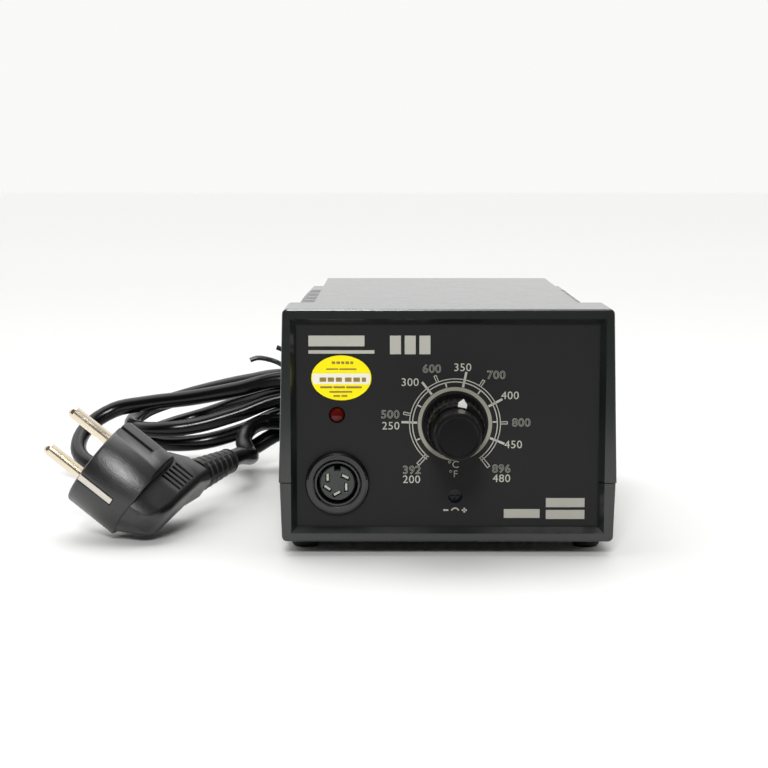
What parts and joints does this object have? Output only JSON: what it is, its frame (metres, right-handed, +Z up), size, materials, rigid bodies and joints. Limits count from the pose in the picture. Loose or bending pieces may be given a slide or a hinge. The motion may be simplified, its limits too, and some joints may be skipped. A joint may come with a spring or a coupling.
{
  "type": "soldering iron station",
  "caption": "Mains-fed soldering station base: black two-half case with a temperature knob and printed scale, round iron socket, lamp, and a hanked mains lead with an angled plug.",
  "frame": {"origin": "on the table under the middle of the object's box, which runs from the knob's face to the end of the lead's strain relief", "axes": "+X to the right seen from the front, +Y to the rear, +Z up; the front panel faces -Y"},
  "size_m": [0.2254, 0.2605, 0.0884],
  "materials": {
    "cover_plastic": "fine grained moulding",
    "case_plastic": "fine grained moulding",
    "panel_face": "matt printed sheet",
    "foot_rubber": "moulded",
    "screw_steel": "zinc plated",
    "knob_plastic": "satin moulding",
    "pointer_white": "printed",
    "black_plastic": "smooth moulding",
    "socket_insert_plastic": "moulded",
    "socket_shell_metal": "nickel plated",
    "contact_metal": "plated",
    "lamp_red": "translucent moulding",
    "trimmer_blue": "moulded",
    "rotor_white": "moulded",
    "label_foil": "printed film",
    "board_laminate": "solder resist",
    "capacitor_sleeve": "shrunk sleeve",
    "sink_aluminium": "extruded",
    "triac_epoxy": "moulded",
    "lamination_steel": "varnished laminations",
    "winding_tape": "wrapped film",
    "fuse_glass": "clear tube",
    "cord_pvc": "soft extruded sheath",
    "plug_plastic": "fine grained moulding",
    "pin_nickel": "nickel plated"
  },
  "bodies": {
    "station": {"board_screw_1": "screw_steel", "board_screw_2": "screw_steel", "bottom_case": "case_plastic", "cal_trimmer_body": "trimmer_blue", "case_screw_1": "screw_steel", "case_screw_2": "screw_steel", "case_screw_3": "screw_steel", "case_screw_4": "screw_steel", "circuit_board": "board_laminate", "control_chip": "black_plastic", "cord_gland": "cord_pvc", "electrolytic_capacitor": "capacitor_sleeve", "foot_1": "foot_rubber", "foot_2": "foot_rubber", "foot_3": "foot_rubber", "foot_4": "foot_rubber", "front_panel": "panel_face", "fuse_holder_body": "black_plastic", "fuse_holder_nut": "black_plastic", "heat_sink": "sink_aluminium", "inspection_label": "label_foil", "iron_socket_contact_1": "contact_metal", "iron_socket_contact_2": "contact_metal", "iron_socket_contact_3": "contact_metal", "iron_socket_contact_4": "contact_metal", "iron_socket_contact_5": "contact_metal", "iron_socket_insert": "socket_insert_plastic", "iron_socket_ring": "black_plastic", "iron_socket_shell": "socket_shell_metal", "led_holder": "black_plastic", "led_lamp": "lamp_red", "mains_cord": "cord_pvc", "plug_body": "plug_plastic", "plug_earth_clip_1": "pin_nickel", "plug_earth_clip_2": "pin_nickel", "plug_pin_1": "pin_nickel", "plug_pin_2": "pin_nickel", "plug_strain_relief": "cord_pvc", "pot_body": "screw_steel", "pot_nut": "screw_steel", "pot_washer": "screw_steel", "power_switch_body": "black_plastic", "rear_panel": "panel_face", "terminal_block": "board_laminate", "top_cover": "cover_plastic", "transformer_bracket": "screw_steel", "transformer_core": "lamination_steel", "transformer_screw_1": "screw_steel", "transformer_screw_2": "screw_steel", "transformer_winding": "winding_tape", "triac": "triac_epoxy", "twist_tie": "cord_pvc"},
    "temperature_control": {"temperature_knob": "knob_plastic", "knob_pointer": "pointer_white", "knob_grub_screw": "screw_steel", "pot_shaft": "screw_steel"},
    "calibration_rotor": {"cal_trimmer_rotor": "rotor_white"},
    "switch_rocker": {"power_switch_rocker": "black_plastic"},
    "fuse_carrier": {"fuse": "fuse_glass"},
    "fuse_cap": {"fuse_holder_cap": "black_plastic"}
  },
  "joints": [
    {"name": "temperature_turn", "type": "hinge", "parent": "station", "child": "temperature_control", "pos_m": [0.0026, -0.079, 0.0472], "axis": [0, 1, 0], "range_deg": [-150, 130]},
    {"name": "calibration_turn", "type": "hinge", "parent": "station", "child": "calibration_rotor", "pos_m": [0.0028, -0.0758, 0.0211], "axis": [0, 1, 0], "range_deg": [-120, 120]},
    {"name": "power_rock", "type": "hinge", "parent": "station", "child": "switch_rocker", "pos_m": [0.036, 0.0838, 0.0533], "axis": [1, 0, 0], "range_deg": [-16, 0]},
    {"name": "fuse_slide", "type": "slide", "parent": "station", "child": "fuse_carrier", "axis": [0, 1, 0], "range_m": [0, 0.032]},
    {"name": "fuse_cap_turn", "type": "hinge", "parent": "fuse_carrier", "child": "fuse_cap", "pos_m": [0.004, 0.0859, 0.0533], "axis": [0, 1, 0], "range_deg": [0, 90]}
  ]
}
